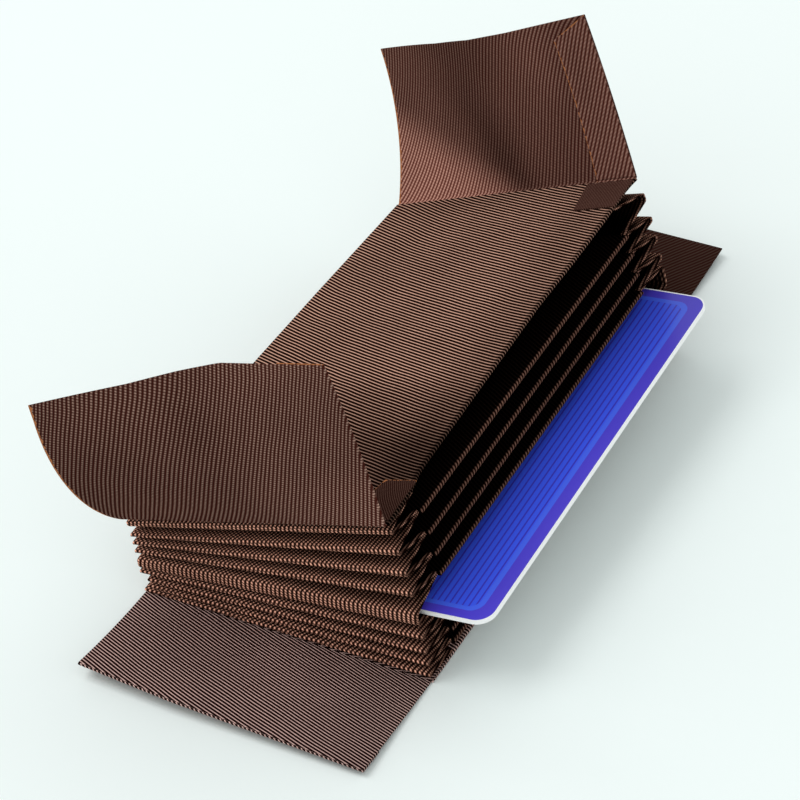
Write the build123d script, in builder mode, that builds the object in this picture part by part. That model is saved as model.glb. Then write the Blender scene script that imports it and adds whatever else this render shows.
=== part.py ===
from build123d import *

import os
from math import cos, radians, sin, tan

# Accordion card wallet: a pleated cloth body with nine pockets, four flaps, and a bank card in a pocket.
# The pockets open towards +X, the spine is at -X, +Y is the far end and +Z is up. The origin is in the
# middle of the face that the wallet lies on. Lengths are in millimetres, angles in degrees.

# The card: the standard size of a bank card, which the pockets are made for
card_length = 85.6
card_width = 53.98
card_thickness = 0.76
card_corner_radius = 3.18

# The cloth: a panel or a divider is two layers, folded double at the opening
cloth_thickness = 0.25
panel_thickness = 2 * cloth_thickness
opening_edge_radius = 0.2
seam_clearance = 0.05

# The pockets: room for the card, and the pleats round three sides
card_end_clearance = 3.1
card_side_clearance = 1.02
gusset_depth = 7.9
divider_overhang = 0.8
pocket_length = card_length + 2 * card_end_clearance
pocket_depth = card_width + card_side_clearance
divider_length = pocket_length - 2 * gusset_depth

# How the stack fans open about its spine, lowest pocket first
spine_height = 15.85
spine_height_shares = (1.1, 1.4, 1.7, 1.85, 2.8, 1.85, 1.55, 1.4, 2.2)
spine_lean = 1.3
fan_angle = 20.4
fan_angle_shares = (1.5, 1.4, 1.4, 1.9, 3.1, 2.3, 2.9, 2.9, 3.0)
top_level = len(fan_angle_shares)

# How much each panel's far end is rolled up, lowest panel first, and how the top panel is twisted:
# its far end is opened further than its near end
panel_rolls = (0, 0.1, 0.3, 0.5, 0.7, 0.8, 0.7, 0.5, 0, 0)
top_panel_twist = 4.4

# The flat ridge of each pleat, as shares of the pocket's height at the spine and at the opening.
# The card's ends hold the ridge of its own pocket low and wide.
card_pocket = 5
ridge_spine_shares = (0.2, 0.8)
ridge_opening_shares = (0.375, 0.625)
card_ridge_spine_shares = (0.0, 0.85)
card_ridge_opening_shares = (0.08, 0.46)

# The top panel and its flaps. A flap's angles are those of its cloth at the fold and at its free edge,
# 0 level with the panel and 90 standing up, at the spine end and at the opening end.
top_end_overhang = 1.1
top_panel_length = pocket_length + 2 * top_end_overhang
fold_gap = 0.35
top_fold_rise = 0.12
top_near_flap_length = 32.2
top_near_flap_spine_angles = (54.0, 90.0)
top_near_flap_opening_angles = (88.0, 94.0)
top_far_flap_length = 29.8
top_far_flap_spine_angles = (44.0, 68.0)
top_far_flap_opening_angles = (70.0, 84.0)
flap_hem_width = 8.3
flap_middle_share = 0.45

# The bottom panel and its flaps
bottom_end_overhang = 0.4
bottom_panel_length = pocket_length + 2 * bottom_end_overhang
bottom_fold_rise = 0.05
bottom_near_flap_length = 22.4
bottom_near_flap_spine_angles = (3.0, 12.0)
bottom_near_flap_opening_angles = (1.5, 4.0)
bottom_near_hem_width = 8.0
bottom_far_flap_length = 26.5
bottom_far_flap_spine_angles = (1.0, 3.0)
bottom_far_flap_opening_angles = (1.5, 4.0)
hem_clearance = 0.1
hem_fold_clearance = 2.5

# The cloth turned in at the opening corners of the top panel: across the end and along the opening
near_tab_width = 9.5
near_tab_length = 12.5
far_tab_width = 11.0
far_tab_length = 6.5
tab_inset = 1.2
tab_slant_share = 0.3

# Where the card stands in its pocket, measured from the divider under it
card_reach_from_spine = 12.5
card_end_shift = -0.42
card_lift = 1.5
card_tilt = 0.9
card_roll = 0.9


def end_plane(level, side):
    """Plane across one end of a panel: local x runs from the spine to the opening, local y is up."""
    angle = fan_angle * sum(fan_angle_shares[:level]) / sum(fan_angle_shares)
    height_share = sum(spine_height_shares[:level]) / sum(spine_height_shares)
    spine_x = -pocket_depth / 2 - spine_lean * height_share
    spine_z = cloth_thickness + spine_height * height_share
    rise = pocket_length / 2 * tan(radians(panel_rolls[level]))
    if level == top_level:
        angle += side * top_panel_twist / 2
        rise -= pocket_depth / 2 * tan(radians(top_panel_twist / 2))
    direction = Vector(cos(radians(angle)), 0, sin(radians(angle)))
    spine = Vector(spine_x, side * pocket_length / 2, spine_z)
    return Plane(origin=spine + Vector(0, -1, 0).cross(direction) * side * rise, x_dir=direction, z_dir=(0, -1, 0))


def panel_point(level, along, across, up=0):
    """Point of a panel: along from the spine, across from its middle line, up from its middle surface."""
    near, far = (end_plane(level, side).from_local_coords((along, up, 0)) for side in (-1, 1))
    return near + (far - near) * (across / pocket_length + 1 / 2)


def panel_plane(level, across=0):
    """Plane of a panel about one line across it: local x runs to the opening, local z is up."""
    origin = panel_point(level, 0, across)
    x_dir = panel_point(level, pocket_depth, across) - origin
    y_dir = panel_point(level, 0, across + pocket_length / 2) - origin
    return Plane(origin=origin, x_dir=x_dir, z_dir=x_dir.cross(y_dir))


def save(piece, name):
    """Label one finished sub-part and write it as its own file."""
    piece.part.label = name
    export_step(piece.part, f"parts/{name}.step")


def make_divider(level):
    """One flat divider, two layers thick and rounded along its folded edge at the opening."""
    plane = panel_plane(level)
    depth = pocket_depth + divider_overhang - gusset_depth
    with BuildPart() as divider:
        with BuildSketch(plane):
            with Locations((gusset_depth + depth / 2, 0)):
                Rectangle(depth, divider_length)
        extrude(amount=panel_thickness / 2, both=True)
        along_opening = Axis(plane.origin, plane.y_dir)
        fillet(divider.edges().filter_by(along_opening).sort_by(Axis.X)[-2:], opening_edge_radius)
    save(divider, f"divider_{level}")


def layer_section(level, across, first, last, low, high):
    """Cut through one layer of a panel: from first to last along it and from low to high."""
    origin = panel_point(level, 0, across)
    x_dir = panel_point(level, pocket_depth, across) - origin
    with BuildSketch(Plane(origin=origin, x_dir=x_dir, z_dir=(0, -1, 0))) as section:
        with BuildLine():
            Polyline((first, low), (last, low), (last, high), (first, high), close=True)
        make_face()
    return section.sketch


def make_outer_panel(name, level, length, outward):
    """Top or bottom panel: an outer cloth up to its fold lines, and the lining inside the pleats."""
    outer_end = length / 2 - fold_gap
    lining_end = divider_length / 2
    opening_end = pocket_depth + divider_overhang
    with BuildPart() as panel:
        for end, first, last, low, high in (
            (outer_end, 0, pocket_depth, 0, outward * cloth_thickness),
            (lining_end, gusset_depth, opening_end, -outward * cloth_thickness, 0),
        ):
            layer = (first, last, min(low, high), max(low, high))
            loft([layer_section(level, across, *layer) for across in (-end, end)], ruled=True)
    save(panel, name)


def make_tab(name, side, width, length):
    """Cloth turned in at one opening corner of the top panel, flat on its upper face."""
    end_y = side * (top_panel_length / 2 - tab_inset)
    low = cloth_thickness + seam_clearance
    layer = (pocket_depth, low, low + cloth_thickness)
    inner = layer_section(top_level, end_y - side * length, pocket_depth - width * (1 - tab_slant_share), *layer)
    outer = layer_section(top_level, end_y, pocket_depth - width, *layer)
    with BuildPart() as tab:
        loft([inner, outer], ruled=True)
    save(tab, name)


def pleat_section(pocket, valley, ridge, band_shares):
    """One cut through a pleat: a leg out from the lower panel, the flat ridge, and a leg back."""
    low_valley, high_valley = (panel_point(level, *valley) for level in (pocket - 1, pocket))
    low_ridge, high_ridge = (panel_point(level, *ridge) for level in (pocket - 1, pocket))
    ridge_middle = (low_ridge + high_ridge) / 2
    ridge_rise = (high_ridge - low_ridge).length
    rise = high_valley - low_valley
    cut = Plane(origin=low_valley, x_dir=rise, z_dir=rise.cross(ridge_middle - low_valley))
    middle = cut.to_local_coords(ridge_middle)
    low, high = (middle.X + (share - 1 / 2) * ridge_rise for share in band_shares)
    bottom, top = seam_clearance, rise.length - seam_clearance
    with BuildSketch(cut) as section:
        with BuildLine():
            Polyline(
                (top, seam_clearance),
                (high, middle.Y),
                (low, middle.Y),
                (bottom, seam_clearance),
                (bottom + cloth_thickness, seam_clearance),
                (low + cloth_thickness, middle.Y - cloth_thickness),
                (high - cloth_thickness, middle.Y - cloth_thickness),
                (top - cloth_thickness, seam_clearance),
                close=True,
            )
        make_face()
    return section.sketch


def make_gusset(pocket):
    """Pleat round the near end, the spine and the far end of one pocket, open towards +X."""
    holds_card = pocket == card_pocket
    at_spine = card_ridge_spine_shares if holds_card else ridge_spine_shares
    at_opening = card_ridge_opening_shares if holds_card else ridge_opening_shares
    valley_y, ridge_y = divider_length / 2, pocket_length / 2
    cuts = (
        ((pocket_depth, -valley_y), (pocket_depth, -ridge_y), at_opening),
        ((gusset_depth, -valley_y), (0, -ridge_y), at_spine),
        ((gusset_depth, 0), (0, 0), at_spine),
        ((gusset_depth, valley_y), (0, ridge_y), at_spine),
        ((pocket_depth, valley_y), (pocket_depth, ridge_y), at_opening),
    )
    with BuildPart() as gusset:
        for first, second in zip(cuts, cuts[1:]):
            loft([pleat_section(pocket, *first), pleat_section(pocket, *second)], ruled=True)
    save(gusset, f"gusset_{pocket}")


def bent_point(angles, length, share, height):
    """Point of a bent flap's section at a share of its length, a height off its middle surface."""
    start, end = (radians(angle) for angle in angles)
    here = start + (end - start) * share
    radius = length / (end - start)
    out = fold_gap * cos(start) + radius * (sin(here) - sin(start)) - height * sin(here)
    up = fold_gap * sin(start) + radius * (cos(start) - cos(here)) + height * cos(here)
    return (out, up)


def bent_section(plane, angles, length, first_share, low):
    """Section of a bent flap or its hem: one cloth thick from the height low, square at both ends."""
    shares = (first_share, (first_share + 1) / 2, 1)
    under = [bent_point(angles, length, share, low) for share in shares]
    over = [bent_point(angles, length, share, low + cloth_thickness) for share in shares]
    with BuildSketch(plane) as section:
        with BuildLine():
            ThreePointArc(*under)
            Line(under[-1], over[-1])
            ThreePointArc(*reversed(over))
            Line(over[0], under[0])
        make_face()
    return section.sketch


def make_flap(name, hinge, spine_angles, opening_angles, length, stations, low, first_share=0):
    """Flap or hem along a fold: sections at stations, which are shares from the spine to the opening."""
    level, side, fold_y, fold_z = hinge
    first = panel_point(level, 0, side * fold_y, fold_z)
    along = panel_point(level, pocket_depth, side * fold_y, fold_z) - first
    sections = []
    for station in stations:
        cut = Plane(origin=first + along * station, x_dir=(0, side, 0), z_dir=along * side)
        angles = [a + (b - a) * station for a, b in zip(spine_angles, opening_angles)]
        sections.append(bent_section(cut, angles, length, first_share, low))
    with BuildPart() as flap:
        loft(sections, ruled=True)
    save(flap, name)


def make_card():
    """The card, lying on the divider under its pocket and standing out of the opening."""
    divider = panel_plane(card_pocket - 1)
    tilt, roll = radians(card_tilt), radians(card_roll)
    x_dir = divider.x_dir * cos(tilt) + divider.z_dir * sin(tilt)
    y_dir = divider.y_dir * cos(roll) + divider.z_dir * sin(roll)
    inner_edge = divider.from_local_coords((card_reach_from_spine, card_end_shift, card_lift))
    with BuildPart() as card:
        with BuildSketch(Plane(origin=inner_edge, x_dir=x_dir, z_dir=x_dir.cross(y_dir))):
            with Locations((card_width / 2, 0)):
                RectangleRounded(card_width, card_length, card_corner_radius)
        extrude(amount=card_thickness / 2, both=True)
    save(card, "card")


os.makedirs("parts", exist_ok=True)

make_outer_panel("bottom_panel", 0, bottom_panel_length, -1)
for level in range(1, top_level):
    make_divider(level)
make_outer_panel("top_panel", top_level, top_panel_length, 1)
for pocket in range(1, top_level + 1):
    make_gusset(pocket)

# The flaps of the top panel, with the hem turned in along the opening edge of each
hem_share = 1 - flap_hem_width / pocket_depth
flap_stations = (0, flap_middle_share, hem_share, 1)
top_fold_z = cloth_thickness + top_fold_rise
hem_low = cloth_thickness / 2 + hem_clearance
for end, side, spine_angles, opening_angles, length in (
    ("near", -1, top_near_flap_spine_angles, top_near_flap_opening_angles, top_near_flap_length),
    ("far", 1, top_far_flap_spine_angles, top_far_flap_opening_angles, top_far_flap_length),
):
    hinge = (top_level, side, top_panel_length / 2, top_fold_z)
    shape = (hinge, spine_angles, opening_angles, length)
    make_flap(f"top_{end}_flap", *shape, flap_stations, -cloth_thickness / 2)
    make_flap(f"{end}_flap_hem", *shape, flap_stations[-2:], hem_low, hem_fold_clearance / length)
make_tab("near_corner_hem", -1, near_tab_width, near_tab_length)
make_tab("far_corner_hem", 1, far_tab_width, far_tab_length)

# The flaps of the bottom panel; the near one has its free edge folded under
bottom_fold_z = bottom_fold_rise - cloth_thickness / 2
near_hinge = (0, -1, bottom_panel_length / 2, bottom_fold_z)
near_shape = (near_hinge, bottom_near_flap_spine_angles, bottom_near_flap_opening_angles)
make_flap("bottom_near_flap", *near_shape, bottom_near_flap_length, (0, 1), -cloth_thickness / 2)
near_hem_share = 1 - bottom_near_hem_width / bottom_near_flap_length
near_hem_low = -cloth_thickness / 2 - hem_clearance - cloth_thickness
make_flap("bottom_near_hem", *near_shape, bottom_near_flap_length, (0, 1), near_hem_low, near_hem_share)
far_hinge = (0, 1, bottom_panel_length / 2, bottom_fold_z)
far_shape = (far_hinge, bottom_far_flap_spine_angles, bottom_far_flap_opening_angles)
make_flap("bottom_far_flap", *far_shape, bottom_far_flap_length, (0, 1), -cloth_thickness / 2)

make_card()
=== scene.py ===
"""Accordion card wallet, laid out as a Blender add-on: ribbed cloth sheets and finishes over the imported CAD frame."""

from functools import partial
from math import cos, pi, radians, sin, sqrt, tan

import bpy
import numpy as np
from bpy.props import FloatProperty, FloatVectorProperty, PointerProperty
from mathutils import Matrix, Vector


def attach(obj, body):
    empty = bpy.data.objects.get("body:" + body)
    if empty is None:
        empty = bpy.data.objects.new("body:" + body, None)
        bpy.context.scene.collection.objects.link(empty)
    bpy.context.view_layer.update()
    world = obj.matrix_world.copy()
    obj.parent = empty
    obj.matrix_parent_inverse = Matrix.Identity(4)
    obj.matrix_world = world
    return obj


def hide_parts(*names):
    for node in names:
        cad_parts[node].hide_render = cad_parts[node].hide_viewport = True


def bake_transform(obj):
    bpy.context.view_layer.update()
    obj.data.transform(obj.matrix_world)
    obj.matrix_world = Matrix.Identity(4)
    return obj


bl_info = {
    "name": "Accordion card wallet",
    "version": (1, 0, 0),
    "blender": (4, 5, 0),
    "location": "3D View > Sidebar > Wallet",
    "description": "Builds the wallet's ribbed cloth sheets, its card finish and the stage over the CAD frame",
    "category": "Object",
}

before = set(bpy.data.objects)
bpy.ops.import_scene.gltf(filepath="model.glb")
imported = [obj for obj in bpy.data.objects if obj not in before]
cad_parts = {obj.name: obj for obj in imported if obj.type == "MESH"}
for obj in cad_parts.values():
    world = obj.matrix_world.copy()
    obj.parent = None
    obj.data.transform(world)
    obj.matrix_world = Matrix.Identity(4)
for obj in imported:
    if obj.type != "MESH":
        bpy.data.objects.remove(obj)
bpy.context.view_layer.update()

# Sizes of the wallet in millimetres and angles in degrees, the same as the solids have
MM = 0.001
CLOTH = 0.25
SEAM = 0.05
CARD_WIDTH, CARD_THICKNESS = 53.98, 0.76
POCKET_LENGTH, POCKET_DEPTH, PLEAT_DEPTH, OVERHANG = 91.8, 55.0, 7.9, 0.8
DIVIDER_LENGTH = POCKET_LENGTH - 2 * PLEAT_DEPTH
SPINE_HEIGHT, SPINE_LEAN, FAN_ANGLE, TOP_TWIST = 15.85, 1.3, 20.4, 4.4
SPINE_SHARES = np.cumsum((0, 1.1, 1.4, 1.7, 1.85, 2.8, 1.85, 1.55, 1.4, 2.2))
ANGLE_SHARES = np.cumsum((0, 1.5, 1.4, 1.4, 1.9, 3.1, 2.3, 2.9, 2.9, 3.0))
ROLLS = (0, 0.1, 0.3, 0.5, 0.7, 0.8, 0.7, 0.5, 0, 0)
TOP = len(ROLLS) - 1
CARD_POCKET = 5
CHAIN = ["base"] + [f"leaf_{level}" for level in range(1, TOP)] + ["lid"]
TOP_HALF, TOP_FOLD_HEIGHT = 47.0, 0.37
BOTTOM_HALF, BOTTOM_FOLD_HEIGHT = 46.3, -0.075
FOLD_GAP = 0.35

# The sheets are a little thinner than the solids, so that they lie inside them
SHEET, DIVIDER_SHEET = 0.22, 0.2

# A wave texture repeats every 0.31416 units over its scale
WAVE = 0.31416

# The photograph's camera: angles in degrees, distance and target in metres, and its focal length and middle point in pixels
VIEW_AZIMUTH, VIEW_ELEVATION, VIEW_ROLL = 32.56, 41.1, -6.66
VIEW_DISTANCE, VIEW_TARGET = 0.7459, (0.0, 0.0, 0.01)
IMAGE_SIDE, FOCAL, MIDDLE_POINT = 800, 4322.5, (410.04, 424.25)


def linear(code):
    """Linear red, green and blue of an sRGB hex colour."""
    parts = [int(code[i : i + 2], 16) / 255 for i in (1, 3, 5)]
    return tuple(c / 12.92 if c <= 0.04045 else ((c + 0.055) / 1.055) ** 2.4 for c in parts)


def smooth(value):
    """0 below 0, 1 above 1 and 3t^2 - 2t^3 between."""
    t = np.clip(value, 0.0, 1.0)
    return t * t * (3 - 2 * t)


# Shapes


def end_line(level, side):
    """Spine point, direction to the opening and upward direction of a panel at one end of the stack."""
    share = SPINE_SHARES[level] / SPINE_SHARES[-1]
    angle = radians(FAN_ANGLE * ANGLE_SHARES[level] / ANGLE_SHARES[-1])
    rise = POCKET_LENGTH / 2 * tan(radians(ROLLS[level]))
    if level == TOP:
        angle += side * radians(TOP_TWIST / 2)
        rise -= POCKET_DEPTH / 2 * tan(radians(TOP_TWIST / 2))
    direction = np.array((cos(angle), 0.0, sin(angle)))
    upward = np.array((-sin(angle), 0.0, cos(angle)))
    spine = np.array((-POCKET_DEPTH / 2 - SPINE_LEAN * share, side * POCKET_LENGTH / 2, CLOTH + SPINE_HEIGHT * share))
    return spine + upward * side * rise, direction, upward


def panel_point(level, along, across, up=0.0):
    """Points of a panel: along from the spine and up from it on its two end lines, then across on the straight line
    between the two."""
    along, across, up = (np.asarray(v, float)[..., None] for v in np.broadcast_arrays(along, across, up))
    ends = (end_line(level, side) for side in (-1, 1))
    near, far = (spine + along * direction + up * upward for spine, direction, upward in ends)
    return near + (far - near) * (across / POCKET_LENGTH + 0.5)


def cloth_piece(name, points, cloth, material, thickness=SHEET, raw=9.0, shade=1.0, other_shade=None):
    """A sheet of cloth with its thickness: the middle surface moved half a thickness to each side along its normal,
    which is the cross product of the grid's two directions, and closed by a strip along each edge. cloth is the place
    of each point on the flat cloth, raw its distance from a cut edge, shade the painted light and shade on the side
    that the normal points to, and other_shade the painted light and shade on the other side. Gives the piece, its flat
    size and its flat area."""
    rows, columns = points.shape[:2]
    normal = np.cross(np.gradient(points, axis=0), np.gradient(points, axis=1))
    normal /= np.maximum(np.linalg.norm(normal, axis=-1, keepdims=True), 1e-12)
    sides = np.stack((points + normal * thickness / 2, points - normal * thickness / 2))
    count = rows * columns
    index = np.arange(2 * count).reshape(2, rows, columns)
    up, low = index
    top = np.stack((up[:-1, :-1], up[1:, :-1], up[1:, 1:], up[:-1, 1:]), -1).reshape(-1, 4)
    bottom = np.stack((low[:-1, :-1], low[:-1, 1:], low[1:, 1:], low[1:, :-1]), -1).reshape(-1, 4)
    strips = np.concatenate(
        [
            np.stack((up[:-1, 0], low[:-1, 0], low[1:, 0], up[1:, 0]), -1),
            np.stack((up[1:, -1], low[1:, -1], low[:-1, -1], up[:-1, -1]), -1),
            np.stack((up[0, 1:], low[0, 1:], low[0, :-1], up[0, :-1]), -1),
            np.stack((up[-1, :-1], low[-1, :-1], low[-1, 1:], up[-1, 1:]), -1),
        ]
    )
    quads = np.concatenate((top, bottom, strips))
    mesh = bpy.data.meshes.new(name)
    mesh.vertices.add(2 * count)
    mesh.vertices.foreach_set("co", (sides * MM).astype(np.float32).ravel())
    mesh.loops.add(quads.size)
    mesh.loops.foreach_set("vertex_index", quads.astype(np.int32).ravel())
    mesh.polygons.add(len(quads))
    mesh.polygons.foreach_set("loop_start", np.arange(0, quads.size, 4, dtype=np.int32))
    mesh.update(calc_edges=True)
    uv = np.concatenate([cloth.reshape(-1, 2)] * 2)[quads.ravel()]
    mesh.uv_layers.new(name="cloth").data.foreach_set("uv", uv.astype(np.float32).ravel())
    other_shade = shade if other_shade is None else other_shade
    for field, first, second in (("raw_edge", raw, raw), ("shade", shade, other_shade)):
        values = np.stack([np.broadcast_to(v, (rows, columns)) for v in (first, second)]).ravel()
        mesh.attributes.new(field, "FLOAT", "POINT").data.foreach_set("value", values.astype(np.float32))
    mesh.materials.append(material)
    mesh.polygons.foreach_set("use_smooth", np.ones(len(quads), bool))
    mesh.set_sharp_from_angle(angle=radians(55))
    piece = bpy.data.objects.new(name, mesh)
    bpy.context.scene.collection.objects.link(piece)
    diagonals = np.cross(points[1:, 1:] - points[:-1, :-1], points[1:, :-1] - points[:-1, 1:])
    width, length = (np.linalg.norm(np.diff(points, axis=way), axis=-1).sum(way).max() * MM for way in (0, 1))
    area = np.linalg.norm(diagonals, axis=-1).sum() / 2 * MM**2
    return piece, (float(width), float(length)), float(min(area, width * length))


def folded_profile(back, edge, gap, bulge):
    """Line round a folded edge: out along the lower layer, a half circle round the edge, and back along the upper layer.
    The layers are gap apart and open to the circle's width in the last millimetre. Gives distance, height and running
    length."""
    reach = edge - bulge
    runs = np.linspace(back, reach, int((reach - back) / 1.2))
    runs = np.concatenate((runs[:-1], reach - np.array((0.9, 0.6, 0.35, 0.15, 0.0))))
    height = gap / 2 + (bulge - gap / 2) * smooth(1 - (reach - runs))
    turn = np.linspace(-pi / 2, pi / 2, 11)[1:-1]
    x = np.concatenate((runs, reach + bulge * np.cos(turn), runs[::-1]))
    z = np.concatenate((-height, bulge * np.sin(turn), height[::-1]))
    s = np.concatenate(([0.0], np.cumsum(np.hypot(np.diff(x), np.diff(z)))))
    return x, z, s


def double_sheet(level, back, edge, half, gap, bulge):
    """A panel folded double at the opening: the folded profile drawn across the wallet between -half and half."""
    x, z, s = folded_profile(back, edge, gap, bulge)
    across = np.linspace(-half, half, 100)
    points = panel_point(level, x[:, None], across[None, :], z[:, None])
    middle = (s[-1] + s[0]) / 2
    cloth = np.stack(np.broadcast_arrays((s - middle)[:, None], across[None, :]), -1)
    return points, cloth


def pleat_surface(pocket):
    """Pleat round one pocket. On the path from the near opening round the spine to the far opening, each section goes
    from the lower panel's seam out to the rounded ridge and back to the upper panel's seam: the point is the seam point
    moved towards the ridge point by a share that is a smooth hat, 0 at the seams and 1 over the ridge band. Gives the
    painted
    shade of the outside and the inside too: painted shade deep in the folds, on the inside and on the far leg, and
    painted highlights on the ridge and along the cut edges at the opening."""
    card = pocket == CARD_POCKET
    spine_band, opening_band = ((0.1, 0.75), (0.2, 0.56)) if card else ((0.34, 0.66), (0.4, 0.6))
    near_spine_band, far_spine_band, far_opening_band = spine_band, spine_band, (0.26, 0.5)
    if card:
        # The card lies askew, so its pocket leaves room under its near end and over its far end, also when it is pushed in
        near_spine_band, far_spine_band, far_opening_band = (0.02, 0.75), (0.1, 0.96), (0.2, 0.9)
    valley, ridge = DIVIDER_LENGTH / 2, POCKET_LENGTH / 2
    # Where a ridge stays short of its corner at the spine, and where it goes past the opening
    tuck, far_tuck, past = 1.2 if pocket in (2, 3) else 0.0, 1.8 if pocket == TOP else 0.0, 0.6
    corners = np.array(
        (
            (POCKET_DEPTH, -valley, POCKET_DEPTH, -ridge, *opening_band),
            (PLEAT_DEPTH, -valley, tuck, -ridge, *near_spine_band),
            (PLEAT_DEPTH, 0.0, 0.0, 0.0, *spine_band),
            (PLEAT_DEPTH, valley, far_tuck, ridge, *far_spine_band),
            (POCKET_DEPTH, valley, POCKET_DEPTH + past, ridge + past, *far_opening_band),
        )
    )
    legs = np.hypot(*np.diff(corners[:, 2:4], axis=0).T)
    stops = np.concatenate(([0.0], np.cumsum(legs)))
    ends, corner = np.array((0.0, 0.3, 0.6, 0.9)), stops[1:-1]
    where = (np.linspace(0, stops[-1], 96), stops, corner - 0.7, corner + 0.7, ends, stops[-1] - ends)
    where = np.unique(np.concatenate(where))
    vx, vy, rx, ry, low, high = (np.interp(where, stops, c)[:, None] for c in corners.T)
    q = np.concatenate((-np.linspace(1, 0.12, 9), np.linspace(-0.09, 0.09, 5), np.linspace(0.12, 1, 9)))[None, :]
    blunt, rounded = 0.06, 0.0004
    hat = 1 - np.sqrt(np.maximum(np.abs(q) - blunt, 0) ** 2 + rounded) / sqrt((1 - blunt) ** 2 + rounded)
    hat = (hat - hat.min()) / (hat.max() - hat.min())
    band = smooth((q + 0.11) / 0.22)
    clear = SEAM + CLOTH / 2
    seam_low, seam_high = panel_point(pocket - 1, vx, vy, clear), panel_point(pocket, vx, vy, -clear)
    seam = np.where(q[..., None] < 0, seam_low, seam_high)
    ridge_low, ridge_high = panel_point(pocket - 1, rx, ry), panel_point(pocket, rx, ry)
    share = (low + (high - low) * band)[..., None]
    points = seam + (ridge_low + (ridge_high - ridge_low) * share - seam) * hat[..., None]
    run = np.concatenate(([0.0], np.cumsum(np.linalg.norm(np.diff(points[len(where) // 4], axis=0), axis=-1))))
    cloth = np.stack(np.broadcast_arrays(where[:, None], (run - run[-1] / 2)[None, :]), -1)
    # Painted highlight along the cut edges at both openings; painted shade on the far leg, deep in the folds and inside
    edge = smooth((0.8 - np.minimum(where, stops[-1] - where)) / 0.3)[:, None]
    far_side = smooth((where - stops[-1] + POCKET_DEPTH) / 10)[:, None]
    outer = (0.05 + 0.62 * smooth((hat - 0.4) / 0.48) + 0.5 * smooth((hat - 0.9) / 0.06)) * (1 - 0.55 * far_side)
    inner = 0.12 * outer
    return points, cloth, outer + (0.5 - outer) * edge, inner + (0.45 - inner) * edge


def fold_line(level, side, half):
    """A flap's fold line: its spine end, the way from there to its opening end, and the upward direction square to it."""
    first = panel_point(level, 0.0, side * half)
    line = panel_point(level, POCKET_DEPTH, side * half) - first
    return first, line, np.array((-line[2], 0.0, line[0])) / np.hypot(line[0], line[2])


def flap_bend(level, side, fold, bodies):
    """The two bodies of a flap, and the two points between which its cloth turns from one to the other: along the line halfway
    between outwards and upwards from the fold line, from 0.3 mm before it to 1 mm after it."""
    first, line, normal = fold_line(level, side, fold[0])
    hinge, toward = first + line / 2 + normal * fold[1], (normal + np.array((0.0, side, 0.0))) * sqrt(0.5)
    return (*bodies, hinge - 0.3 * toward, hinge + toward)


def flap_surface(level, side, fold, bends, length, shares, reach, lifts=0.0, shear=0.0, cut=1.0):
    """A flap that bends up from a panel. Its angle over the panel starts at 0, turns to the fold's angle within a millimetre
    and then changes evenly to the free edge's. The line is the running sum of (cos, sin) of that angle, for each share of
    the way from spine to opening. bends holds both angles at the spine, halfway and at the opening. lifts moves a row off
    the sheet along its normal, reach and cut scale the rows' length and shear slides the free edge towards the opening."""
    half, height = fold
    # The sheet starts a tail before the fold line and has finished its turn half a millimetre after it
    tail, turned = 0.6, 0.5
    s = (np.linspace(-tail, -0.3, 3), np.linspace(-0.2, turned, 9), np.linspace(0.8, length + FOLD_GAP, 48))
    column, s = len(s[0]) + len(s[1]) - 1, np.concatenate(s)[None, :]
    shares, lifts = (np.broadcast_to(v, np.shape(shares)).astype(float)[:, None] for v in (shares, lifts))
    scale = np.interp(shares, (0, 0.33, 0.66, 1), reach) * np.reshape(cut, (-1, 1))
    s = np.where(s > turned, turned + (s - turned) * scale, s)
    start, end = (np.radians(np.interp(shares, (0, 0.5, 1), angles)) for angles in bends)
    angle = start * smooth((s + 0.25) / 0.6) + (end - start) * np.clip((s - FOLD_GAP) / length, 0, 2)
    step, middle = np.diff(s, axis=1), (angle[:, 1:] + angle[:, :-1]) / 2
    zero = np.zeros((len(shares), 1))
    out = -tail + np.concatenate((zero, np.cumsum(np.cos(middle) * step, 1)), 1)
    up = (-CLOTH if level == 0 else CLOTH) / 2 + np.concatenate((zero, np.cumsum(np.sin(middle) * step, 1)), 1)
    ease = smooth((s + tail) / (tail + FOLD_GAP))
    out += (FOLD_GAP * np.cos(start) - out[:, column : column + 1]) * ease
    up += (height + FOLD_GAP * np.sin(start) - up[:, column : column + 1]) * ease
    out, up = out - np.sin(angle) * lifts * ease, up + np.cos(angle) * lifts * ease
    first, line, normal = fold_line(level, side, half)
    along = shares + shear / POCKET_DEPTH * np.clip(s / length, 0, 1)
    points = first + line * along[..., None] + normal * up[..., None] + np.array((0.0, side, 0.0)) * out[..., None]
    return points, np.broadcast_to(s, out.shape)


def laid_out(run, s, length, turn, bends):
    """Cloth coordinates along and across the ribs of a flap whose ribs are turned by an angle and bent a little, as the cloth
    is pulled askew: across them is the sum of bends[i][j] (run / depth)^i (s / length)^j."""
    along = cos(radians(turn)) * run - sin(radians(turn)) * s
    across = np.polynomial.polynomial.polyval2d(*np.broadcast_arrays(run / POCKET_DEPTH, s / length), bends)
    return np.stack((along + 0 * across, across), -1)


# Turns in degrees and bends in mm of the ribs of the near and the far top flap and of the bottom's near half, so that the ribs
# lie as the photograph shows
NEAR_TURN, FAR_TURN, BOTTOM_TURN = -66.4, -65.2, -16.7
NEAR_RIBS = (
    (0, 20.58, -9.7, 9.96, -4.43),
    (-53.29, 8.51, -13.18, -2, 0),
    (24, -6.55, 23.69, 0, 0),
    (-35.46, -14.12, 0, 0, 0),
    (15.35, 0, 0, 0, 0),
)
FAR_RIBS = ((0, 17.8, -6.22, 2.12), (-39.21, -19.72, 11.39, 0), (-25.08, 8.8, 0, 0), (18.1, 0, 0, 0))
BOTTOM_RIBS = ((0, 21.04, -1.25), (-20.7, 4.03, 0), (1.29, 0, 0))


# Finishes


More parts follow.
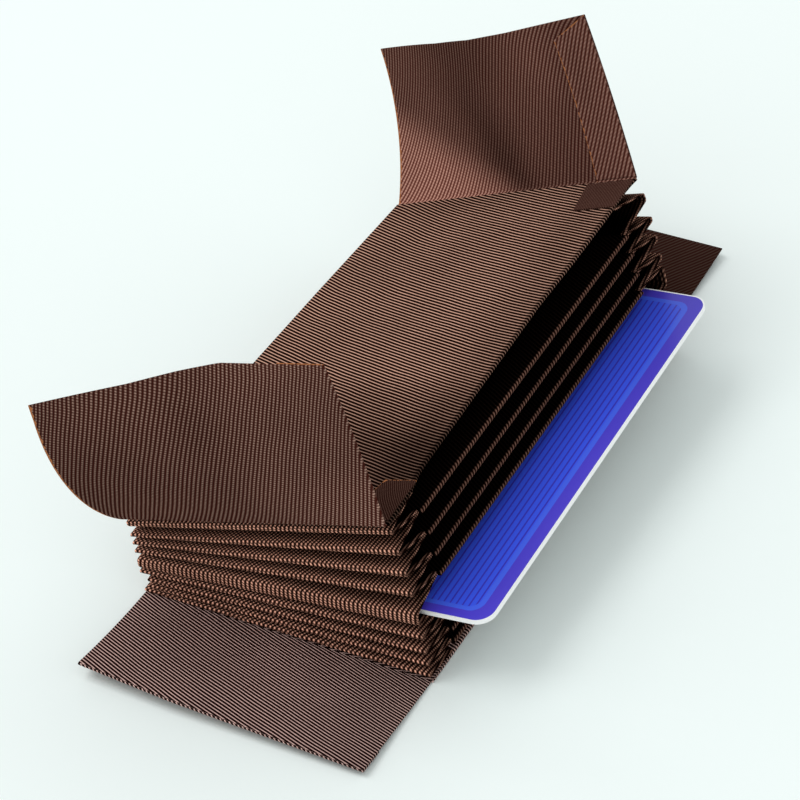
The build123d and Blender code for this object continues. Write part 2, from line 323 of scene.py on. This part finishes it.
def add_node(tree, kind, inputs=(), **settings):
    """One shader node with its settings; each input is a value or another node's output."""
    made = tree.nodes.new("ShaderNode" + kind)
    for name, value in settings.items():
        setattr(made, name, value)
    for socket, value in dict(inputs).items():
        if isinstance(value, bpy.types.NodeSocket):
            tree.links.new(value, made.inputs[socket])
        else:
            made.inputs[socket].default_value = value
    return made


def new_material(name):
    """An empty node material and its tree."""
    material = bpy.data.materials.new(name)
    material.use_nodes = True
    material.node_tree.nodes.clear()
    return material, material.node_tree


def rgba(code):
    """Linear colour with alpha from an sRGB hex colour."""
    return (*linear(code), 1.0)


def ribbed_cloth(name, light, dark, angle, pitch, sharp=2.0, cross=0.0, cross_pitch=0.5, cross_angle=90.0):
    """Ribbed polyester, woven with thick ribs every 0.65 mm. To the eye each rib is a rounded cord of threads with a
    dark groove beside it, and fine threads cross it. Cut edges are sealed by heat, which leaves a narrow orange-brown
    melted line. light and dark are this piece's painted light and shade on its ribs and grooves against the settings'
    colours, angle and pitch turn the ribs and space them, sharp narrows them, and cross is how deep the crossing
    threads cut. Each piece's shade attribute then multiplies the colour as painted shade and painted highlight."""
    settings = bpy.context.scene.wallet_cloth
    light = (*np.multiply(light, settings.rib_colour), 1.0)
    dark = (*np.multiply(dark, settings.groove_colour), 1.0)
    pitch = pitch * settings.rib_pitch / MM
    material, tree = new_material(name)
    add = partial(add_node, tree)
    uv = add("UVMap", uv_map="cloth").outputs[0]
    # The ribs wander a little over some 10 mm
    wobble = add("TexNoise", {"Vector": uv, "Scale": 0.09, "Detail": 1.0}).outputs["Color"]
    moved = add("VectorMath", {0: wobble, 1: (0.5, 0.5, 0.0), 2: uv}, operation="MULTIPLY_ADD").outputs[0]
    waves = []
    for turn, spacing in ((angle, pitch), (cross_angle, cross_pitch)):
        turned = add("Mapping", {"Vector": moved, "Rotation": (0, 0, radians(turn))}).outputs[0]
        wave = add("TexWave", {"Vector": turned, "Scale": WAVE / spacing, "Detail": 0.0}, bands_direction="Y")
        waves.append(wave.outputs["Fac"])
    threads = add("Math", {0: waves[1], 1: cross, 2: 1.0 - cross}, operation="MULTIPLY_ADD").outputs[0]
    woven = add("Math", {0: waves[0], 1: threads}, operation="MULTIPLY").outputs[0]
    # Single threads catch the light differently, in spots of half a millimetre
    fine = add("TexNoise", {"Vector": moved, "Scale": 1.9, "Detail": 3.0}).outputs["Fac"]
    grain = add("MapRange", {0: fine, 1: 0.25, 2: 0.75, 3: 0.8, 4: 1.2}).outputs[0]
    crests = add("Math", {0: woven, 1: sharp}, operation="POWER").outputs[0]
    lit = add("Math", {0: crests, 1: grain}, operation="MULTIPLY", use_clamp=True).outputs[0]
    colour = add("Mix", {0: lit, 6: dark, 7: light}, data_type="RGBA").outputs[2]
    # Handling leaves lighter and darker patches of about 20 mm
    patches = add("TexNoise", {"Vector": uv, "Scale": 0.05, "Detail": 2.0}).outputs["Fac"]
    worn = add("MapRange", {0: patches, 1: 0.3, 2: 0.7, 3: 0.9, 4: 1.1}).outputs[0]
    # Painted shade and painted highlight: the shade attribute darkens and lightens the colour, together with the
    # handling patches
    shade = add("Attribute", attribute_name="shade", attribute_type="GEOMETRY").outputs["Fac"]
    depth = add("Math", {0: worn, 1: shade}, operation="MULTIPLY").outputs[0]
    colour = add("Mix", {0: 1.0, 6: colour, 7: depth}, data_type="RGBA", blend_type="MULTIPLY").outputs[2]
    raw = add("Attribute", attribute_name="raw_edge", attribute_type="GEOMETRY").outputs["Fac"]
    # The melted line along a cut edge is ragged
    frayed = add("TexNoise", {"Vector": uv, "Scale": 1.6, "Detail": 1.0}).outputs["Fac"]
    ragged = add("Math", {0: frayed, 1: -0.9, 2: raw}, operation="MULTIPLY_ADD").outputs[0]
    melted = add("Math", {0: ragged, 1: -0.33}, operation="LESS_THAN").outputs[0]
    colour = add("Mix", {0: melted, 6: colour, 7: (*settings.melted_colour, 1.0)}, data_type="RGBA").outputs[2]
    bump = add("Bump", {"Height": woven, "Strength": 1.0, "Distance": 0.00012}).outputs[0]
    shader = add("BsdfPrincipled", {"Base Color": colour, "Roughness": 0.62, "Normal": bump, "Specular IOR Level": 0.0})
    add("OutputMaterial", {0: shader.outputs[0]})
    return material


def printed_card():
    """PVC card with a glossy printed face: a blue field of thin darker lines inside a violet border, and a white core at the
    edge."""
    material, tree = new_material("printed_pvc_card")
    add = partial(add_node, tree)
    settings = bpy.context.scene.wallet_cloth
    printed, violet = (*settings.print_colour, 1.0), (*settings.border_colour, 1.0)
    origin, x_dir, y_dir, z_dir = card_axes()
    turn = tuple(Matrix((x_dir, y_dir, z_dir)).transposed().to_euler())
    place = {"Location": tuple(origin * MM), "Rotation": turn, "Scale": (MM, MM, MM)}
    local = add("Mapping", {"Vector": add("TexCoord").outputs["Object"], **place}, vector_type="TEXTURE").outputs[0]
    parts = add("SeparateXYZ", {0: local}).outputs
    flat = add("VectorMath", {0: local, 1: (1.0, 1.0, 0.0)}, operation="MULTIPLY").outputs[0]
    size = add("VectorMath", {0: flat}, operation="ABSOLUTE").outputs[0]
    # The striped field, the lighter strip round it and the printed face are rounded rectangles: half widths, half lengths and
    # corners in mm. A point is outside one where what is left of |x| and |y| past its corner centres is longer than the corner
    outside = []
    for half_width, half_length, corner in ((23.4, 39.8, 2.0), (24.35, 40.7, 2.4), (26.75, 42.55, 3.0)):
        past = add("VectorMath", {0: size, 1: (half_width - corner, half_length - corner, 0)}, operation="SUBTRACT").outputs[0]
        past = add("VectorMath", {0: past, 1: (0, 0, 0)}, operation="MAXIMUM").outputs[0]
        away = add("VectorMath", {0: past}, operation="LENGTH").outputs["Value"]
        outside.append(add("Math", {0: away, 1: corner}, operation="GREATER_THAN").outputs[0])
    lines = add("TexWave", {"Vector": local, "Scale": WAVE / 1.15, "Detail": 0.0}, bands_direction="X").outputs["Fac"]
    dark_line = add("MapRange", {0: lines, 1: 0.02, 2: 0.25, 3: 0.9, 4: 0.0}).outputs[0]
    deep = add("Mix", {0: 1.0, 6: violet, 7: (0.6, 0.32, 0.75, 1.0)}, data_type="RGBA", blend_type="MULTIPLY").outputs[2]
    field = add("Mix", {0: dark_line, 6: printed, 7: deep}, data_type="RGBA").outputs[2]
    strip = add("Mix", {0: 0.05, 6: printed, 7: (0.4, 0.7, 1.0, 1.0)}, data_type="RGBA").outputs[2]
    field = add("Mix", {0: outside[0], 6: field, 7: strip}, data_type="RGBA").outputs[2]
    face = add("Mix", {0: outside[1], 6: field, 7: violet}, data_type="RGBA").outputs[2]
    # Painted shade: the far half is darkened, as it lies in the wallet's shade
    far_half_shade = add("MapRange", {0: parts[1], 1: 0.0, 2: 42.0, 3: 1.0, 4: 0.78}).outputs[0]
    face = add("Mix", {0: 1.0, 6: face, 7: far_half_shade}, data_type="RGBA", blend_type="MULTIPLY").outputs[2]
    side = add("Math", {0: parts[2], 1: CARD_THICKNESS / 2 - 0.03}, operation="LESS_THAN").outputs[0]
    white = add("Math", {0: outside[2], 1: side}, operation="MAXIMUM").outputs[0]
    colour = add("Mix", {0: white, 6: face, 7: rgba("#ffffff")}, data_type="RGBA").outputs[2]
    gloss = {"Roughness": 0.35, "Specular IOR Level": 0.3, "Coat Weight": 0.15, "Coat Roughness": 0.15}
    shader = add("BsdfPrincipled", {"Base Color": colour, **gloss})
    add("OutputMaterial", {0: shader.outputs[0]})
    return material


def card_axes():
    """Middle of the card and its three directions: across it, along it and up from its face. Its inner edge is 12.5 mm from
    the spine and 1.5 mm over the divider under it, and the card is tilted and rolled by 0.9 degrees on that divider."""
    spine, direction, _ = end_line(CARD_POCKET - 1, -1)
    other = end_line(CARD_POCKET - 1, 1)[0]
    y_axis = (other - spine) / np.linalg.norm(other - spine)
    normal = np.cross(direction, y_axis)
    tilt, roll = radians(0.9), radians(0.9)
    x_dir = Vector(direction * cos(tilt) + normal * sin(tilt)).normalized()
    y_dir = Vector(y_axis * cos(roll) + normal * sin(roll))
    z_dir = x_dir.cross(y_dir).normalized()
    edge = Vector((spine + other) / 2 + direction * 12.5 + y_axis * -0.42 + normal * 1.5)
    return edge + x_dir * CARD_WIDTH / 2, x_dir, z_dir.cross(x_dir), z_dir


# The same cloth on each part of the wallet, stretched along its ribs in its own way and given its own painted light and
# shade: painted brightness of the ribs and of the grooves, the ribs' angle in degrees and their spacing against the
# settings' pitch, and then what differs
CLOTHS = {
    "lid": ((1.2, 1.1, 1.02), 0.6, -21.6, 1.0, {"sharp": 5.0}),
    "near_flap": (0.53, 1.9, 0.0, 1.2, {"sharp": 1.8, "cross": 0.65}),
    "far_flap": ((0.375, 0.325, 0.32), 2.3, 0.0, 1.07, {"sharp": 1.3, "cross": 0.35}),
    "bottom": ((1.42, 1.5, 1.72), 0.6, 0.0, 0.95, {"sharp": 4.8}),
    "bottom_far": (0.085, 1.6, -54.0, 1.05, {"sharp": 1.2}),
    "divider": ((0.31, 0.26, 0.24), 0.5, -35.0, 0.95, {"sharp": 2.2}),
    "pleat": ((1.85, 1.5, 1.35), 0.6, -99.0, 1.28, {"sharp": 1.8, "cross": 0.75, "cross_angle": -33.0}),
    "hem": ((0.25, 0.215, 0.21), 1.6, 45.0, 0.6, {"sharp": 1.0, "cross": 0.6, "cross_pitch": 0.45, "cross_angle": -45.0}),
}


def finish(part):
    """The cloth of one part of the wallet, made once."""
    *recipe, differing = CLOTHS[part]
    name = f"ribbed_polyester_{part}"
    return bpy.data.materials.get(name) or ribbed_cloth(name, *recipe, **differing)


class WalletSettings(bpy.types.PropertyGroup):
    """Sizes and colours of the wallet that a user would change."""

    rib_pitch: FloatProperty(
        name="Rib pitch", description="Distance between two ribs of the cloth", default=0.00065, unit="LENGTH"
    )
    rib_colour: FloatVectorProperty(
        name="Ribs", description="Colour of the cloth's ribs", default=linear("#d4ab99"), subtype="COLOR"
    )
    groove_colour: FloatVectorProperty(
        name="Grooves", description="Colour between the ribs", default=linear("#240c08"), subtype="COLOR"
    )
    melted_colour: FloatVectorProperty(
        name="Melted edge", description="Colour of the heat-cut edges", default=linear("#a86b45"), subtype="COLOR"
    )
    print_colour: FloatVectorProperty(
        name="Card", description="Colour of the card's printed field", default=linear("#4060ff"), subtype="COLOR"
    )
    border_colour: FloatVectorProperty(
        name="Card border", description="Colour of the card's border", default=linear("#5244da"), subtype="COLOR"
    )
    floor_colour: FloatVectorProperty(
        name="Floor", description="Colour of the floor", default=linear("#f5fdfb"), subtype="COLOR"
    )


def finish_piece(made, nodes, body=None, bend=None):
    """Hides the solids that a sheet stands for and ties the sheet to its body; a sheet given a bend is tied to no body
    and keeps its place baked into its mesh. A small hem is no sheet of its own: the sheet that it is sewn to hides its
    solid too."""
    piece, flat, area = made
    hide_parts(*nodes)
    if bend:
        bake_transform(piece)
    else:
        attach(piece, body)
    return piece


class WALLET_OT_dividers(bpy.types.Operator):
    """Add the eight dividers, each a cloth folded double at the opening"""

    bl_idname = "wallet.dividers"
    bl_label = "Dividers"

    def execute(self, context):
        for level in range(1, TOP):
            points, flat = double_sheet(level, PLEAT_DEPTH, POCKET_DEPTH + OVERHANG, DIVIDER_LENGTH / 2, 0.27, 0.33)
            # Painted shade: the divider is near black, as in the shade of the pockets, except for its folded edge
            shade = 0.04 + 0.96 * smooth((0.55 - np.abs(flat[..., 0])) / 0.3)
            made = cloth_piece(f"divider_cloth_{level}", points, flat, finish("divider"), DIVIDER_SHEET, shade=shade)
            finish_piece(made, [f"divider_{level}"], body=CHAIN[level])
        return {"FINISHED"}


class WALLET_OT_pleats(bpy.types.Operator):
    """Add the nine pleats round the near end, the spine and the far end"""

    bl_idname = "wallet.pleats"
    bl_label = "Pleats"

    def execute(self, context):
        for pocket in range(1, TOP + 1):
            points, flat, outer, inner = pleat_surface(pocket)
            made = cloth_piece(f"pleat_{pocket}", points, flat, finish("pleat"), shade=inner, other_shade=outer)
            # The bend is the slab between the two seams, square to the middle plane of the pocket
            normal = np.mean([end_line(level, side)[2] for level in (pocket - 1, pocket) for side in (-1, 1)], 0)
            normal /= np.linalg.norm(normal)
            heights = points @ normal
            bend = (CHAIN[pocket - 1], CHAIN[pocket], normal * heights[:, 0].max(), normal * heights[:, -1].min())
            finish_piece(made, [f"gusset_{pocket}"], bend=bend)
        return {"FINISHED"}


class WALLET_OT_top_panel(bpy.types.Operator):
    """Add the top panel, folded double at the opening, and the two corner hems on it"""

    bl_idname = "wallet.top_panel"
    bl_label = "Top panel"

    def execute(self, context):
        x, z, s = folded_profile(PLEAT_DEPTH, POCKET_DEPTH + 0.3, CLOTH, 0.2)
        x, z = np.concatenate((x, [4.0, 0.0])), np.concatenate((z, [CLOTH / 2, CLOTH / 2]))
        s = np.concatenate((s, s[-1] + np.array((PLEAT_DEPTH - 4.0, PLEAT_DEPTH))))
        # The upper layer reaches the flaps' fold lines, and the lower one only the pleats
        half = DIVIDER_LENGTH / 2 + (TOP_HALF - 0.6 - DIVIDER_LENGTH / 2) * smooth((z + 0.19) / 0.1)
        across = np.linspace(-1, 1, 120)[None, :] * half[:, None]
        x, z = x[:, None], z[:, None]
        # The opening edge is drawn in, and the spine edge is tucked in at one end and stands out at the other
        drawn_in = np.interp(across, (-46, -38, -33, -12, 11, 23, 35, 44, 46.6), (0, 0.3, 1.5, 1.6, 1.7, 1.0, 0.7, 0.8, 0.1))
        tucked = np.interp(across, (-46, -20, 0, 20, 46.6), (0, -0.7, -0.3, 0.4, 1.7)) * (z > 0)
        points = panel_point(TOP, x - drawn_in * smooth((x - 35) / 20) + tucked * smooth(1 - x / 20), across, z)
        # The cloth is pulled a little askew, so its ribs bend: a parabola of the distance from the spine
        askew = 0.06 * (x - 15) - 0.0019 * (x - 15) ** 2
        flat = np.stack((np.broadcast_to((s - s[0])[:, None], across.shape), across + askew), -1)
        # The near patch gets painted shade, as it lies in the dark corner under the near flap
        for name, side, width, taper, length, cut_edge, shade in (
            ("near", -1, 9.0, 0.3, 10.0, 0.05, 0.7),
            ("far", 1, 9.9, 0.12, 7.8, 1.0, 1.0),
        ):
            # A corner patch: its inner edge comes nearer to the opening towards the middle of the panel
            u, v = np.linspace(0, 1, 12)[:, None], np.linspace(0, 1, 12)[None, :]
            inner = POCKET_DEPTH - width + width * taper * v
            along, end = inner + (POCKET_DEPTH - 0.1 - inner) * u, TOP_HALF - 1.2
            patch = panel_point(TOP, along, side * (end - length * v), CLOTH + SEAM + CLOTH / 2)
            sewn = np.stack(np.broadcast_arrays(u * width, v * length), -1)
            raw = np.minimum(u * width, (1 - v) * length) + cut_edge
            made = cloth_piece(f"{name}_corner_cloth", patch, sewn, finish("hem"), CLOTH, raw, shade)
            finish_piece(made, [f"{name}_corner_hem"], body="lid")
        # Painted shade: darker in the corner under the near flap, a little beside the far flap, towards the opening and
        # on the folded rim
        shade = 1 - 0.3 * smooth((-across - 4) / 14) - 0.27 * smooth((-across - 17) / 11) - 0.12 * smooth((across - 40) / 6)
        shade = (shade - 0.22 * smooth((x - 40) / 12)).clip(0.22) * (1 - 0.5 * smooth((x - 54.4) / 0.6))
        made = cloth_piece("top_panel_cloth", points, flat, finish("lid"), shade=shade)
        finish_piece(made, ["top_panel"], body="lid")
        return {"FINISHED"}


class WALLET_OT_top_flaps(bpy.types.Operator):
    """Add the two flaps of the top panel, each with its hem turned in along the opening edge"""

    bl_idname = "wallet.top_flaps"
    bl_label = "Top flaps"

    def execute(self, context):
        fold = (TOP_HALF, TOP_FOLD_HEIGHT)
        for name, side, bends, length, reach, shear, inset, slant in (
            ("near", -1, ((43.6, 58.8, 91.9), (97.6, 106.1, 84.2)), 32.2, (1.072, 1.067, 1.09, 1.016), 3.4, 0.0, 0.0),
            ("far", 1, ((39.8, 61.3, 75.1), (78.6, 91.1, 80.7)), 29.8, (0.946, 0.935, 0.957, 1.005), 0.0, 0.035, 0.11),
        ):
            # The rows run to the opening edge, turn round it, and go 8.3 mm back over the sheet as the hem
            main = np.linspace(inset, 1 - 0.004, 70)
            back = np.linspace(1 - 0.004, 1 - 8.3 / POCKET_DEPTH, 12)
            shares = np.concatenate((main, (0.9985, 1.0, 0.9985), back))
            lifts = np.concatenate((0 * main, (0.06, 0.16, 0.26), 0 * back + 0.32))
            cut = np.concatenate((np.ones(len(main) + 3), 1 - slant * np.linspace(0, 1, len(back))))
            points, s = flap_surface(TOP, side, fold, bends, length, shares, reach, lifts, shear, cut)
            run = np.concatenate(([0.0], np.cumsum(np.abs(np.diff(shares)) * POCKET_DEPTH)))
            u, v = shares[:, None], np.clip(s / length, 0, 1)
            turned_in = np.arange(len(shares))[:, None] >= len(main) + 2
            raw = np.minimum(run[:, None] - 0.2, run[-1] - run[:, None]) + 0 * s
            raw = np.where(turned_in, np.minimum(raw, s[:, -1:] - s), raw)
            if name == "near":
                flat = laid_out(run[:, None], s, length, NEAR_TURN, NEAR_RIBS)
                # Painted light: lighter towards the opening end, near the fold and along the free edge
                shade = 1.0 + 0.25 * smooth((u - 0.5) / 0.25) + 0.25 * smooth(1 - v / 0.5) + 0.12 * smooth((v - 0.7) / 0.3)
            else:
                # On the hem the ribs lean the other way, so its cloth is laid out turned
                edge, turn = run[len(main)], radians(FAR_TURN)
                flat = laid_out(run[:, None], s, length, FAR_TURN, FAR_RIBS)
                hem = (edge + 0.863 * (run[:, None] - edge) + 0.997 * s) * sin(turn) + s * cos(turn)
                flat[..., 1] = np.where(turned_in, hem, flat[..., 1])
                # Painted shade and painted light: a dark band, as in a hollow, runs up the sheet and bends; its low
                # spine corner and its high end are painted lighter, as if they catch the light; a column on the hem's
                # inner part is painted darker, and the turned-in hem lighter
                hollow = (u - np.interp(v, (0, 0.5, 1), (0.55, 0.41, 0.36))) / (0.07 + 0.1 * v)
                band = (0.5 - 0.2 * v) * np.exp(-(hollow**2))
                patch = smooth((0.72 - 1.14 * u - v) / 0.32)
                glow = np.exp(-(((u - 0.74) / 0.12) ** 2) - ((v - 0.85) / 0.3) ** 2)
                column = np.exp(-(((u - 0.9) / 0.05) ** 2) - ((v - 0.65) / 0.25) ** 2)
                shade = 1.05 - band + 1.6 * patch + 0.35 * glow - 0.25 * column + turned_in * 0.42
            made = cloth_piece(f"top_{name}_flap_cloth", points, flat, finish(f"{name}_flap"), raw=raw, shade=shade)
            bend, nodes = flap_bend(TOP, side, fold, ("lid", f"top_{name}")), [f"top_{name}_flap", f"{name}_flap_hem"]
            finish_piece(made, nodes, bend=bend)
        return {"FINISHED"}


class WALLET_OT_bottom(bpy.types.Operator):
    """Add the bottom panel and its two flaps; the near one has its free edge folded under"""

    bl_idname = "wallet.bottom"
    bl_label = "Bottom panel and flaps"

    def execute(self, context):
        x, z, s = folded_profile(PLEAT_DEPTH, POCKET_DEPTH + 0.3, CLOTH, 0.2)
        x, z = np.concatenate(([0.0, 4.0], x)), np.concatenate(([-CLOTH / 2, -CLOTH / 2], z))
        s = np.concatenate(([-PLEAT_DEPTH, 4.0 - PLEAT_DEPTH], s))
        half = DIVIDER_LENGTH / 2 + (BOTTOM_HALF - 0.6 - DIVIDER_LENGTH / 2) * smooth((0.19 - z) / 0.1)
        across = np.linspace(-1, 1, 60)[None, :] * half[:, None]
        points = panel_point(0, x[:, None], across, z[:, None])
        turn = radians(BOTTOM_TURN)
        flat = laid_out(s[:, None], across, 1.0, BOTTOM_TURN, ((0, cos(turn)), (sin(turn) * POCKET_DEPTH, 0)))
        made = cloth_piece("bottom_panel_cloth", points, flat, finish("bottom"))
        finish_piece(made, ["bottom_panel"], body="base")
        fold = (BOTTOM_HALF, BOTTOM_FOLD_HEIGHT)
        for name, side, bends, length, reach, last, cloth in (
            ("near", -1, ((3.0, 2.25, 1.5), (12.0, 8.0, 4.0)), 22.4, (0.93, 0.98, 0.99, 1.0), 1.0, "bottom"),
            ("far", 1, ((1.0, 1.25, 1.5), (3.0, 3.5, 4.0)), 26.5, (1.0, 1.0, 1.0, 1.0), 0.952, "bottom_far"),
        ):
            shares = np.linspace(0, last, 60)
            points, s = flap_surface(0, side, fold, bends, length, shares, reach)
            run = shares[:, None] * POCKET_DEPTH
            flat, shade = np.stack(np.broadcast_arrays(run, s), -1), 1.0
            nodes = [f"bottom_{name}_flap"]
            if name == "near":
                # The free edge turns down and back under: a half circle, then the last rows again, a circle's width lower
                radius, rows = 0.175, slice(-12, -1)
                edge, before = points[:, -1], points[:, -2]
                out = (edge - before) / np.linalg.norm(edge - before, axis=-1, keepdims=True)
                down = np.cross(out, np.array((1.0, 0.0, 0.0)))
                down *= -np.sign(down[:, 2:3])
                out, down, turn = out[:, None], down[:, None], np.linspace(0, pi, 9)[1:, None]
                rounded = edge[:, None] + radius * (out * np.sin(turn) + down * (1 - np.cos(turn)))
                points = np.concatenate((points, rounded, points[:, rows][:, ::-1] + down * 2 * radius), 1)
                across = np.concatenate((s[-1], s[-1, -1] + radius * turn[:, 0], 2 * s[-1, -1] + 0.55 - s[-1, rows][::-1]))
                flat = laid_out(run, across[None, :], length, BOTTOM_TURN, BOTTOM_RIBS)
                # The ribs end in beads round the edge, which lie askew to it
                flat[..., 1] -= run * np.where(np.arange(len(across)) > s.shape[1], 0.45, 0.0)
                # Painted shade: a little darker all over, and darker still towards the opening end
                shade = 0.95 - 0.2 * smooth((shares[:, None] - 0.7) / 0.3)
                nodes.append("bottom_near_hem")
            made = cloth_piece(f"bottom_{name}_flap_cloth", points, flat, finish(cloth), shade=shade)
            bend = flap_bend(0, side, fold, ("base", f"bottom_{name}"))
            finish_piece(made, nodes, bend=bend)
        return {"FINISHED"}


class WALLET_OT_card(bpy.types.Operator):
    """Give the card its printed face and white core"""

    bl_idname = "wallet.card"
    bl_label = "Card finish"

    def execute(self, context):
        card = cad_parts["card"]
        material = printed_card()
        for slot in card.material_slots:
            slot.material = material
        return {"FINISHED"}


class WALLET_OT_stage(bpy.types.Operator):
    """Add the floor, the soft lights and the camera at the photograph's angle"""

    bl_idname = "wallet.stage"
    bl_label = "Stage"

    def execute(self, context):
        scene = context.scene
        colour = (*scene.wallet_cloth.floor_colour, 1.0)
        material, tree = new_material("matt_card_floor")
        shader = add_node(tree, "BsdfPrincipled", {"Base Color": colour, "Roughness": 0.9, "Specular IOR Level": 0.1})
        add_node(tree, "OutputMaterial", {0: shader.outputs[0]})
        mesh = bpy.data.meshes.new("floor")
        mesh.from_pydata([(-3, -3, -0.0002), (3, -3, -0.0002), (3, 3, -0.0002), (-3, 3, -0.0002)], [], [(0, 1, 2, 3)])
        mesh.materials.append(material)
        floor = bpy.data.objects.new("floor", mesh)
        scene.collection.objects.link(floor)

        world = bpy.data.worlds.new("studio_air")
        world.use_nodes = True
        world.node_tree.nodes.clear()
        air = add_node(world.node_tree, "Background", {0: rgba("#f8fbfb"), 1: 0.79})
        add_node(world.node_tree, "OutputWorld", {0: air.outputs[0]})
        scene.world = world

        # A large soft lamp high up on the left, as the photograph's camera sees the room
        forward = view_directions()[2]
        away = Vector((forward.x, forward.y, 0)).normalized()
        right = Vector((away.y, -away.x, 0))
        toward = -right * 0.72 + away * 0.2 + Vector((0, 0, 1.3))
        lamp = bpy.data.lights.new("window_softbox", "AREA")
        lamp.energy, lamp.size = 55.0, 2.6
        light = bpy.data.objects.new("window_softbox", lamp)
        light.location = toward.normalized() * 4.0
        light.rotation_euler = toward.to_track_quat("Z", "Y").to_euler()
        scene.collection.objects.link(light)

        lens = bpy.data.cameras.new("camera")
        lens.sensor_width, lens.lens = 36.0, FOCAL / IMAGE_SIDE * 36
        lens.clip_start, lens.clip_end = 0.05, 20.0
        camera = bpy.data.objects.new("camera", lens)
        camera.matrix_world = camera_place()
        scene.collection.objects.link(camera)
        scene.camera = camera
        scene.view_settings.view_transform = "Standard"
        return {"FINISHED"}


def view_directions():
    """Right, up and forward directions of the photograph's camera: turned round by the azimuth, tipped down by the elevation
    and then rolled."""
    azimuth, elevation, roll = radians(VIEW_AZIMUTH), radians(VIEW_ELEVATION), radians(VIEW_ROLL)
    right = Vector((cos(azimuth), sin(azimuth), 0))
    forward = Vector((-sin(azimuth) * cos(elevation), cos(azimuth) * cos(elevation), -sin(elevation)))
    up = right.cross(forward)
    return right * cos(roll) + up * sin(roll), up * cos(roll) - right * sin(roll), forward


def camera_place():
    """The camera's place: the view's distance back from its target, and turned from the fitted middle point to the middle of
    the image, so that no shift is needed."""
    right, up, forward = view_directions()
    aside, below = (IMAGE_SIDE / 2 - value for value in MIDDLE_POINT)
    middle = (forward * FOCAL + right * aside - up * below).normalized()
    right = (right - middle * right.dot(middle)).normalized()
    place = Matrix((right, right.cross(middle), -middle)).transposed().to_4x4()
    place.translation = Vector(VIEW_TARGET) - forward * VIEW_DISTANCE
    return place


class WALLET_PT_sidebar(bpy.types.Panel):
    """Lists the wallet's pieces in the order in which they are made"""

    bl_label = "Accordion card wallet"
    bl_idname = "WALLET_PT_sidebar"
    bl_space_type = "VIEW_3D"
    bl_region_type = "UI"
    bl_category = "Wallet"

    def draw(self, context):
        for name in WalletSettings.__annotations__:
            self.layout.prop(context.scene.wallet_cloth, name)
        for operator in OPERATORS:
            self.layout.operator(operator.bl_idname)


OPERATORS = (
    WALLET_OT_stage,
    WALLET_OT_bottom,
    WALLET_OT_pleats,
    WALLET_OT_dividers,
    WALLET_OT_top_panel,
    WALLET_OT_top_flaps,
    WALLET_OT_card,
)


def register():
    """Register the settings, the operators and the panel."""
    for item in (WalletSettings, *OPERATORS, WALLET_PT_sidebar):
        bpy.utils.register_class(item)
    bpy.types.Scene.wallet_cloth = PointerProperty(type=WalletSettings)


def unregister():
    """Take them out again."""
    del bpy.types.Scene.wallet_cloth
    for item in (WALLET_PT_sidebar, *reversed(OPERATORS), WalletSettings):
        bpy.utils.unregister_class(item)


def main():
    """Build every piece in order."""
    register()
    bpy.ops.wallet.stage()
    bpy.ops.wallet.bottom()
    bpy.ops.wallet.pleats()
    bpy.ops.wallet.dividers()
    bpy.ops.wallet.top_panel()
    bpy.ops.wallet.top_flaps()
    bpy.ops.wallet.card()
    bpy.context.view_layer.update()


if __name__ == "__main__":
    main()
